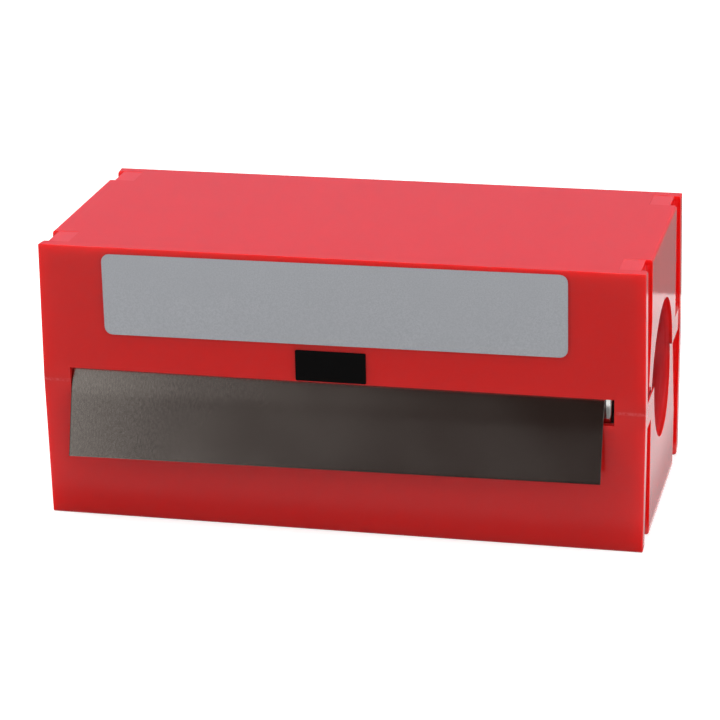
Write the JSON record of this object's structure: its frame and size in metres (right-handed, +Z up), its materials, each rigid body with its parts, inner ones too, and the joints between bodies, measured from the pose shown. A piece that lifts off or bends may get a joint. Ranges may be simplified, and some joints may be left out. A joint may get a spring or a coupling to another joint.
{
  "type": "metal foil dispenser box",
  "caption": "Moulded plastic dispenser box that holds a roll of steel shim foil, with a front slot for the free end, finger holes in both ends and a hinged upper half.",
  "frame": {"origin": "middle of the lower shell's base, on the surface that the box stands on", "axes": "+X along the box and the roll, +Y from the slot's face to the back, +Z up"},
  "size_m": [0.1694, 0.0836, 0.0796],
  "materials": {
    "red_shell": "moulded polypropylene, satin to semi-gloss, warm red",
    "steel_foil": "cold rolled stainless foil with a fine rolling grain",
    "silver_label": "silver-grey printed label stock, left bare",
    "black_sticker": "matt black sticker, left bare"
  },
  "bodies": {
    "lower": {"lower_shell": "red_shell", "foil_roll": "steel_foil"},
    "lid": {"upper_shell": "red_shell", "front_label": "silver_label", "size_sticker": "black_sticker"}
  },
  "joints": [
    {"name": "lid_hinge", "type": "hinge", "parent": "lower", "child": "lid", "pos_m": [0, -0.039, 0.0402], "axis": [1, 0, 0], "range_deg": [0, 140]}
  ]
}
